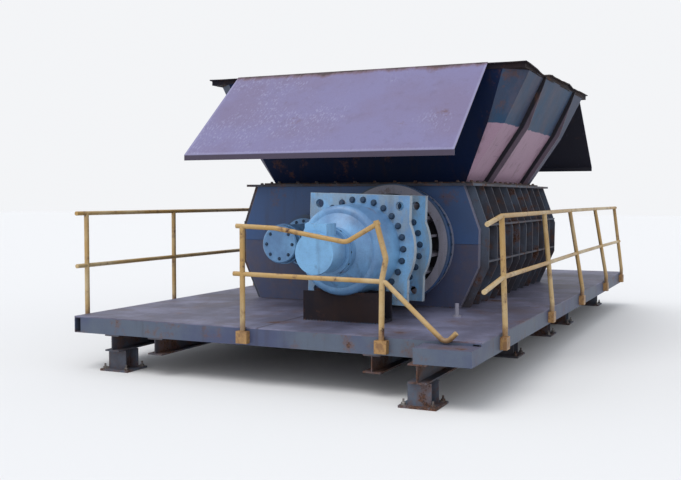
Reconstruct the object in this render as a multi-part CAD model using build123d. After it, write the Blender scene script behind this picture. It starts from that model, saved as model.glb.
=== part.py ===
from build123d import *
import math
import os

# Double shaft shredder on its own low platform. Millimetres, +Z up, the floor at z = 0.
# +Y runs along the two rotors, away from the end whose drive turns the right rotor, +X is to the right.
# The machine is the same after half a turn about Z, apart from its bent handrails.

# Platform
deck_top = 520
deck_width = 4100
deck_length = 7860
deck_plate = 10
frame_depth = 150
frame_web = 8
frame_flange = 70
weld_gap = 3
beam_depth = 160
beam_width = 160
beam_web = 10
beam_flange = 14
outer_beam_inset = 450
inner_beam_clearance = 20
cross_beam_pitch = 1000
discharge_half_width = 1000
landing_width = 485
landing_reach = 270
landing_drop = 30
foot_plate = 20
foot_plate_side = 320
anchor_spacing = 250
anchor_radius = 13
foot_side = 200
foot_web = 12
foot_flange = 16
foot_inset = 180
box_foot_inset = 350
middle_foot_y = 250
slot_inset = 300
slot_y = -1290
slot_length = 160
slot_width = 50

# Cutting box
box_length = 3500
end_wall = 80
side_skin = 40
base_half_width = 1190
low_half_width = 1385
high_half_width = 1390
top_half_width = 1225
low_corner_z = 950
high_corner_z = 1340
box_top = 1800
rib_reach = 85
rib_thickness = 20
rib_count = 11
rib_margin = 100
side_bars = (1010, 1390)
box_cover = 25
box_cover_overhang = 60
box_cover_side = 30
throat_side_margin = 115
throat_end_margin = 350

# Rotors
shaft_distance = 1040
shaft_z = 1190
tip_radius = 610
body_radius = 530
spacer_radius = 355
hex_flats = 400
disc_width = 110
disc_pitch = 250
hooks = 5
hook_stagger = 18
hook_lean = 9
hook_land = 10
journal_radius = 160
end_clearance = 10
comb_clearance = 40
comb_width = 90
comb_half_height = 150

# Drives
bearing_radius = 300
bearing_length = 180
bearing_cover = 40
running_gap = 0.3
tail_radius = 200
tail_length = 620
tail_flange = 260
tail_flange_length = 60
ring_wall_radius = 605
ring_radius = 632
ring_length = 270
ring_groove = 60
ring_core_radius = 575
ring_mouth = 528
ring_face = 40
pocket_ribs = 16
pocket_rib_thickness = 25
flange_thickness = 60
flange_two_reach = 700
flange_one_reach = 1140
flange_radius = 580
flange_half_height = 520
flange_turn = 1.8
ear_notch_radius = 45
ear_notch_x = 562
ear_notch_z = 275
ear_hole = 42
ear_hole_offset = 418
spool_radius = 430
drum_radius = 435
drum_front_radius = 415
drum_length = 450
drum_shoulder = 60
cover_radius = 345
cover_length = 100
stage_radius = 225
stage_length = 80
motor_radius = 185
motor_length = 320
valve_size = (210, 200, 150)
saddle_thickness = 30
saddle_half_width = 400
saddle_start = 110
saddle_length = 260
saddle_top = 800

# Hopper
hopper_side_margin = 57
hopper_end_margin = 51
hopper_side_flare = 683
hopper_end_flare = 279
hopper_kink = 2455
hopper_kink_share = 0.6
hopper_facet_low = 10
hopper_facet_high = 225
hopper_foot = 20
hopper_foot_width = 90
rim_z = 3000
hopper_plate = 12
rim_depth = 60
rim_width = 60
hopper_rib = 16
hopper_rib_reach = 110
hopper_rib_y = 830
hopper_corner_flange = 70
roof_front_half_width = 1475
roof_rear_half_width = 1755
roof_reach = 1140
roof_lip_z = 2125
roof_plate = 12
roof_lip = 60
stay_z = 2600
stay_depth = 60
stay_x = 1100

# Handrails
rail_height = 1000
mid_rail_height = 480
rail_radius = 21
post_radius = 24
rail_bend = 90
crushed_bend = 120
torn_bend = 60
rail_overhang = 150
droop_overhangs = (450, 600)
rail_droops = (60, 75)
front_overhang = 90
rail_kink = 60
bracket_side = 110
bracket_thickness = 60
bracket_drop = 20
side_post_offsets = (610, 2530, 4280, 6130)
last_post_inset = 230
side_post_lean = (-38, -93, -161, -165, -120)
front_posts = (-130, 1200)
first_post_height = 910
kinked_post = ((5, 480), (40, 650), (-50, 965))
crushed_rail = ((-60, 905), (330, 890), (1010, 780), (1310, 950))
torn_rail = ((-90, 480), (1360, 460), (1890, -20), (1980, 70))

half_width = deck_width / 2
half_length = deck_length / 2
frame_top = deck_top - deck_plate
frame_bottom = frame_top - frame_depth
beam_bottom = frame_bottom - beam_depth
box_half = box_length / 2
shaft_x = shaft_distance / 2
rotor_half = box_half - end_wall - end_clearance
discharge_half_length = box_half - end_wall - 60
cover_top = box_top + box_cover
hopper_z = cover_top + hopper_foot
outer_beam_x = half_width - outer_beam_inset
inner_beam_x = discharge_half_width + inner_beam_clearance + beam_width / 2
corner_foot_y = half_length + landing_reach - foot_plate_side / 2
box_foot_y = box_half - box_foot_inset
outer_foot_rows = (-corner_foot_y, -box_foot_y, middle_foot_y, box_foot_y, half_length - foot_inset)
disc_count = int(2 * rotor_half / disc_pitch)
throat_half_width = top_half_width - throat_side_margin
throat_half_length = box_half - throat_end_margin
flange_two_y = box_half + flange_two_reach
flange_one_y = box_half + flange_one_reach
drum_end = flange_one_y + drum_length
cover_end = drum_end + cover_length
stage_end = cover_end + stage_length
motor_end = stage_end + motor_length
hopper_bottom_half_width = throat_half_width + hopper_side_margin
hopper_bottom_half_length = throat_half_length + hopper_end_margin
rim_half_width = hopper_bottom_half_width + hopper_side_flare
rim_half_length = hopper_bottom_half_length + hopper_end_flare
roof_lip_y = rim_half_length + roof_reach
side_posts = [offset - half_length for offset in side_post_offsets] + [half_length - last_post_inset]


def turned(shape):
    """The same piece at the other end of the machine, half a turn about Z."""
    return Rot(0, 0, 180) * shape


def block(x0, x1, y0, y1, z0, z1):
    return Pos((x0 + x1) / 2, (y0 + y1) / 2, (z0 + z1) / 2) * Box(x1 - x0, y1 - y0, z1 - z0)


def save(name, *shapes):
    solids = [s for shape in shapes for s in shape.solids()]
    piece = solids[0] if len(solids) == 1 else Compound(children=solids)
    piece.label = name
    export_step(piece, f"parts/{name}.step")


def poly(points):
    return make_face(Polyline(*points, close=True))


def along_y(sketch, y0, y1):
    """A profile drawn with X across and Z as its own Y, extruded from y0 to y1."""
    return Pos(0, y1, 0) * extrude(Rot(90, 0, 0) * sketch, amount=y1 - y0)


def along_x(sketch, x0, x1):
    """A profile drawn with Y across and Z as its own Y, extruded from x0 to x1."""
    return Pos(x0, 0, 0) * extrude(Plane.YZ * sketch, amount=x1 - x0)


def tube_y(x, z, radius, y0, y1):
    """A round bar along Y."""
    return along_y(Pos(x, z) * Circle(radius), y0, y1)


def four_bars(half_x, half_y, width_x, width_y, z0, z1):
    """A flat frame of two long bars and two short ones between them."""
    side = block(half_x - width_x, half_x, -half_y, half_y, z0, z1)
    reach = half_x - width_x - weld_gap
    front = block(-reach, reach, -half_y, -half_y + width_y, z0, z1)
    return [side, front, turned(side), turned(front)]


# Steel sections
def i_section(width, depth, web, flange):
    top = Pos(0, (depth - flange) / 2) * Rectangle(width, flange)
    bottom = Pos(0, (flange - depth) / 2) * Rectangle(width, flange)
    return top + bottom + Rectangle(web, depth)


def c_section(depth, flange, web):
    """A channel with its back on x = 0 and its flanges towards minus x."""
    back = Pos(-web / 2, 0) * Rectangle(web, depth)
    top = Pos(-flange / 2, (depth - web) / 2) * Rectangle(flange, web)
    bottom = Pos(-flange / 2, (web - depth) / 2) * Rectangle(flange, web)
    return back + top + bottom


def base_plate():
    plate = Rectangle(foot_plate_side, foot_plate_side)
    plate -= GridLocations(anchor_spacing, anchor_spacing, 2, 2) * Circle(anchor_radius)
    return extrude(plate, amount=foot_plate)


def foot(x, y):
    section = i_section(foot_side, foot_side, foot_web, foot_flange)
    stub = Pos(0, 0, foot_plate) * extrude(section, amount=beam_bottom - foot_plate)
    return Pos(x, y, 0) * (stub + base_plate())


# Platform
def feet():
    right = [foot(outer_beam_x, y) for y in outer_foot_rows]
    right += [foot(inner_beam_x, y) for y in (-discharge_half_length, discharge_half_length)]
    return right + [turned(one) for one in right]


def main_beams():
    """The outer beams run on under the landings, to carry the corner feet."""
    section = i_section(beam_width, beam_depth, beam_web, beam_flange)
    level = beam_bottom + beam_depth / 2
    outer = along_y(Pos(outer_beam_x, level) * section, -half_length - landing_reach, half_length)
    inner = along_y(Pos(inner_beam_x, level) * section, -half_length, half_length)
    return [outer, inner, turned(outer), turned(inner)]


def edge_channels():
    z = (frame_bottom + frame_top) / 2
    section = c_section(frame_depth, frame_flange, frame_web)
    right = Pos(half_width, 0, z) * along_y(section, -half_length, half_length)
    short = half_width - frame_flange - weld_gap
    front = Rot(0, 0, -90) * along_y(section, -short, short)
    front = Pos(0, -half_length, z) * front
    return [right, front, turned(right), turned(front)]


def cross_beams():
    """Joists between the edge channels, cut back beside the discharge opening."""
    level = (frame_bottom + frame_top) / 2
    section = Pos(0, level) * i_section(frame_flange, frame_depth, frame_web, frame_web)
    reach = half_width - frame_flange - weld_gap
    side_start = inner_beam_x - beam_width / 2
    bars = []
    count = int((half_length - box_half) / cross_beam_pitch)
    for i in range(count + 1):
        y = -box_half - i * cross_beam_pitch
        bars.append(along_x(Pos(y, 0) * section, -reach, reach))
    for y in (-cross_beam_pitch / 2, cross_beam_pitch / 2):
        bars.append(along_x(Pos(y, 0) * section, side_start, reach))
    return bars + [turned(bar) for bar in bars]


def deck_plates():
    """Loose plates laid round the discharge opening, with open seams between them."""
    bay = (half_length - discharge_half_length) / 2
    plates = []
    for row in (0, 1):
        y0 = -half_length + row * bay
        y1 = y0 + bay - weld_gap
        for x0, x1 in ((-half_width, -weld_gap / 2), (weld_gap / 2, half_width)):
            plates.append(block(x0, x1, y0, y1, frame_top, deck_top))
    reach = discharge_half_length - weld_gap
    walkway = block(discharge_half_width, half_width, -reach, reach, frame_top, deck_top)
    slot = extrude(SlotOverall(slot_length, slot_width), amount=deck_plate)
    walkway -= Pos(half_width - slot_inset, slot_y, frame_top) * slot
    plates.append(walkway)
    return plates + [turned(plate) for plate in plates]


def landing():
    """The lower step that stands out of the deck's front edge, where the stair lands."""
    top = deck_top - landing_drop
    x0 = half_width - landing_width
    y0 = -half_length - landing_reach
    plate = block(x0, half_width, y0, -half_length, top - deck_plate, top)
    skirt = block(x0, half_width, y0, -half_length, frame_bottom, top - deck_plate)
    skirt -= block(
        x0 + frame_web, half_width - frame_web, y0 + frame_web, -half_length - frame_web,
        frame_bottom, top - deck_plate,
    )
    return plate + skirt


# Cutting box
def box_outline():
    right = [
        (base_half_width, deck_top), (low_half_width, low_corner_z),
        (high_half_width, high_corner_z), (top_half_width, box_top),
    ]
    left = [(-x, z) for x, z in reversed(right)]
    return poly(right + left)


def end_wall_front():
    """The heavy end plate, split at shaft height so that the rotors lift out."""
    wall = along_y(box_outline(), -box_half, -box_half + end_wall)
    for x in (-shaft_x, shaft_x):
        wall -= tube_y(x, shaft_z, journal_radius + end_clearance, -box_half, -box_half + end_wall)
    half = weld_gap / 2
    wall -= block(
        -high_half_width, high_half_width, -box_half, -box_half + end_wall, shaft_z - half, shaft_z + half,
    )
    return wall


def side_wall_right():
    outer = [
        (base_half_width, deck_top), (low_half_width, low_corner_z),
        (high_half_width, high_corner_z), (top_half_width, box_top),
    ]
    inner = [(x - side_skin, z) for x, z in reversed(outer)]
    clear = box_half - end_wall
    wall = along_y(poly(outer + inner), -clear, clear)
    reached = [(x + rib_reach, z) for x, z in outer]
    rib_face = poly(reached + outer[::-1])
    first = -box_half + rib_margin
    pitch = -2 * first / (rib_count - 1)
    for i in range(rib_count):
        y = first + i * pitch
        wall += along_y(rib_face, y - rib_thickness / 2, y + rib_thickness / 2)
    for z in side_bars:
        strip = Pos(low_half_width, z) * Rectangle(2 * rib_reach, rib_thickness)
        wall += along_y(strip - box_outline(), first, -first)
    return wall


def box_cover_plates():
    """Plates on top of the box, round its throat."""
    half_x = top_half_width + rib_reach + box_cover_side
    half_y = box_half + box_cover_overhang
    width_x = half_x - throat_half_width
    width_y = half_y - throat_half_length
    return four_bars(half_x, half_y, width_x, width_y, box_top, cover_top)


def inner_wall_x(z):
    """Inner face of the right side wall at a height between its two bends."""
    share = (z - low_corner_z) / (high_corner_z - low_corner_z)
    return low_half_width + share * (high_half_width - low_half_width) - side_skin


def disc_ys():
    first = -disc_pitch * (disc_count - 0.5) / 2
    return [first + i * disc_pitch for i in range(disc_count)]


def comb_right():
    """Scraper fingers out of the side wall, one in each gap between the right rotor's discs."""
    z0 = shaft_z - comb_half_height
    z1 = shaft_z + comb_half_height
    x0 = inner_wall_x(z0)
    x1 = inner_wall_x(z1)
    face = poly([(shaft_x, z0), (x0, z0), (x1, z1), (shaft_x, z1)])
    face -= Pos(shaft_x, shaft_z) * Circle(spacer_radius + comb_clearance)
    gaps = [y + disc_pitch / 2 for y in disc_ys()[:-1]]
    return [along_y(face, y - comb_width / 2, y + comb_width / 2) for y in gaps]


# Rotors, each turning about its own Y axis
def hook_face():
    """A cutter disc's outline: a steep face up to a narrow land, then a long relieved back."""
    step = 360 / hooks
    face = Circle(body_radius)
    for i in range(hooks):
        start = math.radians(i * step)
        tip = start + math.radians(hook_lean)
        land = tip + math.radians(hook_land)
        back = start + math.radians(step * 0.62)
        hook = poly([
            (body_radius * 0.8 * math.cos(start), body_radius * 0.8 * math.sin(start)),
            (tip_radius * math.cos(tip), tip_radius * math.sin(tip)),
            (tip_radius * math.cos(land), tip_radius * math.sin(land)),
            (body_radius * math.cos(back), body_radius * math.sin(back)),
            (body_radius * 0.8 * math.cos(back), body_radius * 0.8 * math.sin(back)),
        ])
        face += hook
    return face


def hex_face():
    return RegularPolygon(hex_flats / 2, 6, major_radius=False)


def cutters(x, centres):
    discs = []
    for i, y in enumerate(centres):
        face = Rot(0, 0, i * hook_stagger) * hook_face() - hex_face()
        discs.append(along_y(Pos(x, shaft_z) * face, y - disc_width / 2, y + disc_width / 2))
    return discs


def spacers(x, centres):
    ring = Circle(spacer_radius) - hex_face()
    edges = [-rotor_half]
    for y in centres:
        edges += [y - disc_width / 2, y + disc_width / 2]
    edges.append(rotor_half)
    pairs = zip(edges[::2], edges[1::2])
    return [along_y(Pos(x, shaft_z) * ring, y0, y1) for y0, y1 in pairs]


def rotor_shaft(x):
    core = along_y(Pos(x, shaft_z) * hex_face(), -rotor_half, rotor_half)
    idle_end = box_half + bearing_length - bearing_cover - end_clearance
    driven_end = flange_two_y - flange_thickness - end_clearance
    driven = tube_y(x, shaft_z, journal_radius, -driven_end, -rotor_half)
    idle = tube_y(x, shaft_z, journal_radius, rotor_half, idle_end)
    return core + driven + idle


# Drive of the right rotor, at the front, and the idle end of the left rotor beside it
def bearings_front():
    y0 = -box_half - bearing_length
    driven = tube_y(shaft_x, shaft_z, bearing_radius, y0, -box_half)
    driven -= tube_y(shaft_x, shaft_z, journal_radius + running_gap, y0, -box_half)
    idle = tube_y(-shaft_x, shaft_z, bearing_radius, y0, -box_half)
    idle -= tube_y(-shaft_x, shaft_z, journal_radius + running_gap, y0 + bearing_cover, -box_half)
    return [driven, idle]


def tail_front():
    """The closed housing on the left rotor's idle end."""
    start = -box_half - bearing_length
    collar = tube_y(-shaft_x, shaft_z, tail_flange, start - tail_flange_length, start)
    body = tube_y(-shaft_x, shaft_z, tail_radius, start - tail_length, start)
    cap = tube_y(-shaft_x, shaft_z, tail_radius + 12, start - tail_length + 90, start - tail_length + 130)
    return chamfer((collar + body + cap).edges().filter_by(GeomType.CIRCLE).sort_by(Axis.Y)[0], 12)


def drive_ring():
    """The adapter between the end wall and the gearbox: a grooved drum with ribbed pockets in its mouth."""
    wall_y = -box_half
    mouth_y = wall_y - ring_length
    front_y = -flange_two_y + flange_thickness
    inner = bearing_radius + end_clearance
    profile = poly([
        (inner, wall_y), (ring_wall_radius, wall_y), (ring_wall_radius, wall_y - ring_groove),
        (ring_core_radius, wall_y - ring_groove), (ring_core_radius, mouth_y + ring_groove),
        (ring_radius, mouth_y + ring_groove), (ring_radius, mouth_y), (ring_mouth, mouth_y),
        (ring_mouth - ring_face, wall_y - ring_face), (inner + ring_face, wall_y - ring_face),
        (inner + ring_face, front_y), (inner, front_y),
    ])
    drum = Pos(shaft_x, 0, shaft_z) * revolve(profile, axis=Axis.Y)
    ribs = None
    for i in range(pocket_ribs):
        angle = (i + 0.5) * 360 / pocket_ribs
        spoke = Pos((inner + ring_mouth) / 2, 0) * Rectangle(ring_mouth - inner - 30, pocket_rib_thickness)
        rib = along_y(Pos(shaft_x, shaft_z) * Rot(0, 0, angle) * spoke, front_y, wall_y - ring_face / 2)
        ribs = rib if ribs is None else ribs + rib
    ribs -= tube_y(shaft_x, shaft_z, inner + 1, front_y, wall_y)
    return drum + ribs


def ear_face():
    """The outline of a gearbox flange: round at the sides, flat above and below, an ear at each corner."""
    square = Rectangle(2 * flange_half_height, 2 * flange_half_height)
    band = Rectangle(2 * flange_radius, 2 * flange_half_height)
    face = square + (Circle(flange_radius) & band)
    for sx in (-1, 1):
        for sz in (-1, 1):
            face -= Pos(sx * ear_notch_x, sz * ear_notch_z) * Circle(ear_notch_radius)
            face -= Pos(sx * ear_hole_offset, sz * ear_hole_offset) * Circle(ear_hole)
    return Pos(shaft_x, shaft_z) * Rot(0, 0, -flange_turn) * face


def drive_flanges():
    two = along_y(ear_face(), -flange_two_y, -flange_two_y + flange_thickness)
    one = along_y(ear_face(), -flange_one_y, -flange_one_y + flange_thickness)
    spool = tube_y(shaft_x, shaft_z, spool_radius, -flange_one_y, -flange_two_y)
    return one + two + spool


def gearbox():
    """A tapered planetary case with a rounded shoulder and a dished cover, turned about the rotor's axis."""
    profile = poly([
        (0, -flange_one_y), (drum_radius, -flange_one_y), (drum_front_radius, -drum_end),
        (cover_radius, -drum_end), (stage_radius, -cover_end), (stage_radius, -stage_end), (0, -stage_end),
    ])
    shoulder = profile.vertices().sort_by_distance((drum_front_radius, -drum_end, 0))[0]
    profile = fillet(shoulder, drum_shoulder)
    return Pos(shaft_x, 0, shaft_z) * revolve(profile, axis=Axis.Y)


def motor():
    body = tube_y(shaft_x, shaft_z, motor_radius, -motor_end, -stage_end)
    collar = tube_y(shaft_x, shaft_z, motor_radius + 30, -stage_end - 50, -stage_end)
    width, length, height = valve_size
    y = -motor_end + length / 2 + 30
    valve = block(
        shaft_x - width / 2, shaft_x + width / 2, y - length / 2, y + length / 2,
        shaft_z, shaft_z + motor_radius + height / 2,
    )
    return body + collar + valve


def saddle():
    """The cradle that carries the gearbox off the deck."""
    x0 = shaft_x - saddle_half_width
    x1 = shaft_x + saddle_half_width
    y1 = -flange_one_y - saddle_start
    y0 = y1 - saddle_length
    cradle = block(x0, x1, y0, y1, deck_top, deck_top + saddle_thickness)
    for y in (y0, y1 - saddle_thickness):
        cradle += block(x0, x1, y, y + saddle_thickness, deck_top, saddle_top)
    half_web = saddle_thickness / 2
    cradle += block(shaft_x - half_web, shaft_x + half_web, y0, y1, deck_top, saddle_top)
    return cradle - gearbox()


# Hopper
def hopper_corner(share):
    """Half width and half length of the hopper at a share of its flare."""
    x = hopper_bottom_half_width + share * (rim_half_width - hopper_bottom_half_width)
    y = hopper_bottom_half_length + share * (rim_half_length - hopper_bottom_half_length)
    return x, y


def hopper_facet(share):
    """How far the facet across each corner cuts in at a share of the flare."""
    return hopper_facet_low + share * (hopper_facet_high - hopper_facet_low)


def hopper_outline(share, inset):
    """The hopper in plan: a rectangle with its corners cut."""
    x, y = hopper_corner(share)
    cut = hopper_facet(share) - inset * (2 - math.sqrt(2))
    x -= inset
    y -= inset
    quarter = [(x, cut - y), (x, y - cut), (x - cut, y), (cut - x, y)]
    return poly(quarter + [(-a, -b) for a, b in quarter])


def hopper_stage(share0, z0, share1, z1, inset):
    """The frustum between two levels of the hopper."""
    low = Pos(0, 0, z0) * hopper_outline(share0, inset)
    high = Pos(0, 0, z1) * hopper_outline(share1, inset)
    return loft([low, high], ruled=True)


def hopper_shell():
    shell = None
    for share0, z0, share1, z1 in (
        (0, hopper_z, hopper_kink_share, hopper_kink), (hopper_kink_share, hopper_kink, 1, rim_z),
    ):
        part = hopper_stage(share0, z0, share1, z1, 0) - hopper_stage(share0, z0, share1, z1, hopper_plate)
        shell = part if shell is None else shell + part
    return shell


def wedge(along_front):
    """The sector that holds the front wall, or the one with the right wall and its corner facets."""
    x0, y0 = hopper_corner(-1)
    x1, y1 = hopper_corner(2)
    x0 -= hopper_facet(-1)
    x1 -= hopper_facet(2)
    if along_front:
        face = poly([(-x0, -y0), (x0, -y0), (x1, -y1), (-x1, -y1)])
    else:
        face = poly([(x0, -y0), (x1, -y1), (2 * x1, -y1), (2 * x1, y1), (x1, y1), (x0, y0)])
    return Pos(0, 0, hopper_z) * extrude(face, amount=rim_z - hopper_z)


def hopper_rib_face(half_bottom, half_kink, half_top):
    """A rib's outline on a sloping wall, given the wall's offsets at its three levels."""
    gap = weld_gap
    return poly([
        (half_bottom + gap, hopper_z), (half_bottom + hopper_rib_reach, hopper_z),
        (half_kink + hopper_rib_reach, hopper_kink), (half_top + rim_width / 2, rim_z),
        (half_top + gap, rim_z), (half_kink + gap, hopper_kink),
    ])


def hopper_wall_right():
    wall = hopper_shell() & wedge(False)
    xs = [hopper_corner(share)[0] for share in (0, hopper_kink_share, 1)]
    face = hopper_rib_face(*xs)
    ribs = [along_y(face, y - hopper_rib / 2, y + hopper_rib / 2) for y in (-hopper_rib_y, hopper_rib_y)]
    return [wall] + ribs


def hopper_wall_front():
    return hopper_shell() & wedge(True)


def hopper_feet():
    """The flat ring on which the hopper is bolted to the cover plates."""
    half_x = hopper_bottom_half_width + hopper_foot_width
    half_y = hopper_bottom_half_length + hopper_foot_width
    width = hopper_foot_width + hopper_plate * 2
    return four_bars(half_x, half_y, width, width, cover_top, hopper_z)


def hopper_rim():
    """A flat frame on the walls, with a gusset over each corner facet."""
    outer = Rectangle(2 * rim_half_width + rim_width, 2 * rim_half_length + rim_width)
    frame = outer - hopper_outline(1, rim_width / 2)
    return Pos(0, 0, rim_z) * extrude(frame, amount=rim_depth)


def hopper_front_y(z):
    """Outer face of the hopper's front wall at a height above its bend."""
    share = hopper_kink_share + (1 - hopper_kink_share) * (z - hopper_kink) / (rim_z - hopper_kink)
    return -hopper_corner(share)[1]


def roof(half_width):
    """The plate that slopes down and out of the rim over the drive, with its lip and its stays."""
    top_y = -rim_half_length - rim_width / 2
    top_z = rim_z + rim_depth
    slope = (top_z - roof_lip_z) / (top_y + roof_lip_y)
    drop = roof_plate * math.hypot(1, slope)
    lip_z = roof_lip_z - roof_lip
    inner_y = -roof_lip_y + roof_plate
    sheet = poly([
        (top_y, top_z), (-roof_lip_y, roof_lip_z), (-roof_lip_y, lip_z), (inner_y, lip_z),
        (inner_y, roof_lip_z + roof_plate * slope - drop), (top_y, top_z - drop),
    ])
    plate = along_x(sheet, -half_width, half_width)
    low = stay_z
    high = stay_z + stay_depth
    low_y = top_y - (top_z - drop - low) / slope + weld_gap
    high_y = top_y - (top_z - drop - high) / slope + weld_gap
    stay = poly([(hopper_front_y(low), low), (hopper_front_y(high), high), (high_y, high), (low_y, low)])
    stays = [along_x(stay, x - stay_depth / 2, x + stay_depth / 2) for x in (-stay_x, 0, stay_x)]
    return [plate] + stays


# Handrails
def bent_tube(points, radius, bend=rail_bend):
    """A round tube along straight runs with rounded corners."""
    path = FilletPolyline(*points, radius=bend) if len(points) > 2 else Polyline(*points)
    start = Plane(origin=path @ 0, z_dir=path % 0)
    return sweep(start * Circle(radius), path=path)


def side_clamp(y):
    z0 = frame_bottom + bracket_drop
    return block(
        half_width, half_width + bracket_thickness, y - bracket_side / 2, y + bracket_side / 2,
        z0, z0 + bracket_side,
    )


def side_rail(leans, drooping):
    """Posts clamped to the edge channel, with a top and a middle rail; each post leans by its own amount."""
    x = half_width + bracket_thickness / 2
    foot_z = frame_bottom + bracket_drop
    top = deck_top + rail_height
    mid = deck_top + mid_rail_height
    share = (mid - deck_top) / (top - deck_top)
    rail = None
    for y, lean in zip(side_posts, leans):
        points = [(x, y, foot_z), (x, y, deck_top + rail_kink), (x + lean, y, top)]
        if not lean:
            points.pop(1)
        piece = bent_tube(points, post_radius) + side_clamp(y)
        rail = piece if rail is None else rail + piece
    for i, (z, part) in enumerate(((top, 1), (mid, share))):
        points = [(x + lean * part, y, z) for y, lean in zip(side_posts, leans)]
        first, last = points[0], points[-1]
        end = (last[0], last[1] + rail_overhang, z)
        if drooping:
            start = (first[0], first[1] - droop_overhangs[i], z - rail_droops[i])
            rail += bent_tube([start] + points[:-1] + [end], rail_radius)
        else:
            rail += bent_tube([(first[0], first[1] - rail_overhang, z), end], rail_radius)
    return rail


def front_rail():
    y = -half_length - bracket_thickness / 2
    foot_z = frame_bottom + bracket_drop
    top = deck_top + rail_height
    rail = None
    for x in front_posts:
        piece = bent_tube([(x, y, foot_z), (x, y, top)], post_radius) + front_clamp(x)
        rail = piece if rail is None else rail + piece
    first, last = front_posts
    for z in (top, deck_top + mid_rail_height):
        rail += bent_tube([(first - front_overhang, y, z), (last + front_overhang, y, z)], rail_radius)
    return rail


def front_clamp(x):
    z0 = frame_bottom + bracket_drop
    return block(
        x - bracket_side / 2, x + bracket_side / 2, -half_length - bracket_thickness, -half_length,
        z0, z0 + bracket_side,
    )


def bent_front_rail():
    """The front rail as it is: a top rail crushed to a V, a kinked post and a middle rail torn down."""
    y = -half_length - bracket_thickness / 2
    foot_z = frame_bottom + bracket_drop
    first, last = front_posts
    post = bent_tube([(first, y, foot_z), (first, y, deck_top + first_post_height)], post_radius)
    kinked = [(last, y, foot_z)] + [(last + dx, y, deck_top + dz) for dx, dz in kinked_post]
    rail = front_clamp(first) + front_clamp(last) + post + bent_tube(kinked, post_radius)
    for run, bend in ((crushed_rail, crushed_bend), (torn_rail, torn_bend)):
        rail += bent_tube([(first + dx, y, deck_top + dz) for dx, dz in run], rail_radius, bend)
    return rail


os.makedirs("parts", exist_ok=True)

save("feet", *feet())
save("main_beams", *main_beams())
save("edge_channels", *edge_channels())
save("cross_beams", *cross_beams())
save("deck_plates", *deck_plates())
save("landings", landing(), turned(landing()))

save("box_cover_plates", *box_cover_plates())
save("comb_right", *comb_right())
save("comb_left", *[turned(finger) for finger in comb_right()])

save("rotor_right_shaft", rotor_shaft(shaft_x))
save("rotor_right_cutters", *cutters(shaft_x, disc_ys()))
save("rotor_right_spacers", *spacers(shaft_x, disc_ys()))
save("rotor_left_shaft", turned(rotor_shaft(shaft_x)))
save("rotor_left_cutters", *[turned(disc) for disc in cutters(shaft_x, disc_ys())])
save("rotor_left_spacers", *[turned(ring) for ring in spacers(shaft_x, disc_ys())])

save("side_wall_right", side_wall_right())
save("side_wall_left", turned(side_wall_right()))
save("hopper_wall_right", *hopper_wall_right())
save("hopper_wall_left", *[turned(piece) for piece in hopper_wall_right()])
save("roof_front", *roof(roof_front_half_width))
save("roof_rear", *[turned(piece) for piece in roof(roof_rear_half_width)])
save("hopper_feet", *hopper_feet())
save("hopper_rim", hopper_rim())

for end, placed in (("front", lambda shape: shape), ("rear", turned)):
    save(f"end_wall_{end}", placed(end_wall_front()))
    save(f"bearings_{end}", *[placed(bearing) for bearing in bearings_front()])
    save(f"tail_{end}", placed(tail_front()))
    save(f"drive_ring_{end}", placed(drive_ring()))
    save(f"drive_flanges_{end}", placed(drive_flanges()))
    save(f"gearbox_{end}", placed(gearbox()))
    save(f"motor_{end}", placed(motor()))
    save(f"saddle_{end}", placed(saddle()))
    save(f"hopper_wall_{end}", placed(hopper_wall_front()))

save("rail_right", side_rail(side_post_lean, True))
save("rail_left", turned(side_rail([0] * len(side_posts), False)))
save("rail_front", bent_front_rail())
save("rail_rear", turned(front_rail()))
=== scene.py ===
"""Double shaft shredder on its platform: finishes, small fittings and a plain stage round the CAD frame."""

import math
import random

import bmesh
import bpy
from bpy.props import FloatProperty, FloatVectorProperty, IntProperty, PointerProperty
from bpy.types import Operator, Panel, PropertyGroup
from mathutils import Matrix, Vector


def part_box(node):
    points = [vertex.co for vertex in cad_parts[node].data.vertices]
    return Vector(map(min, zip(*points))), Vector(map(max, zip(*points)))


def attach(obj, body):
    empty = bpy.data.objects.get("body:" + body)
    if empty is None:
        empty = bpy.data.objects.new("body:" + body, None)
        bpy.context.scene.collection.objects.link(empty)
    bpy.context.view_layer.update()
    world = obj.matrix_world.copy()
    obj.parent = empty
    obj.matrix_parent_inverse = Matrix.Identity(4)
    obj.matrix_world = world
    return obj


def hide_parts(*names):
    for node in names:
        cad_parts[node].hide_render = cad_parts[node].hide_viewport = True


bl_info = {
    "name": "Double shaft shredder",
    "version": (1, 0, 0),
    "blender": (4, 5, 0),
    "location": "3D View > Sidebar > Shredder",
    "description": "Paint, rust, bolts and plates of a double shaft shredder on its platform",
    "category": "Object",
}

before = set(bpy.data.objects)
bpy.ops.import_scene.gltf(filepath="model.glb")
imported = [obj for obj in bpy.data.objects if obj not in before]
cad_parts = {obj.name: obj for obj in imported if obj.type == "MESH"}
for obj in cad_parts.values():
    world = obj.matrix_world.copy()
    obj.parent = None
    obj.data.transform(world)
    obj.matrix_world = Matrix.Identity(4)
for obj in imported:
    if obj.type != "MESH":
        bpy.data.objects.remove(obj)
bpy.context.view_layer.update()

# Places and sizes of the CAD frame in metres. The machine is the same after half a turn about Z, so a name
# that ends in _Y is a distance from the middle, and a table of places gives one half of them.
ROTOR_X = 0.52
ROTOR_Z = 1.19
DECK_TOP = 0.52
DECK_END_Y = 3.93
LANDING_TOP = 0.49
CLAMP_TOP = 0.495
FOOT_PLATE_TOP = 0.020
FOOT_CENTRES = ((1.6, -4.04), (1.6, -1.4), (1.6, 0.25), (1.6, 1.4), (1.6, 3.75), (1.1, -1.61), (1.1, 1.61))
ANCHOR_REACH = 0.125
PIN_PLACE = (1.375, -2.44)

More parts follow.
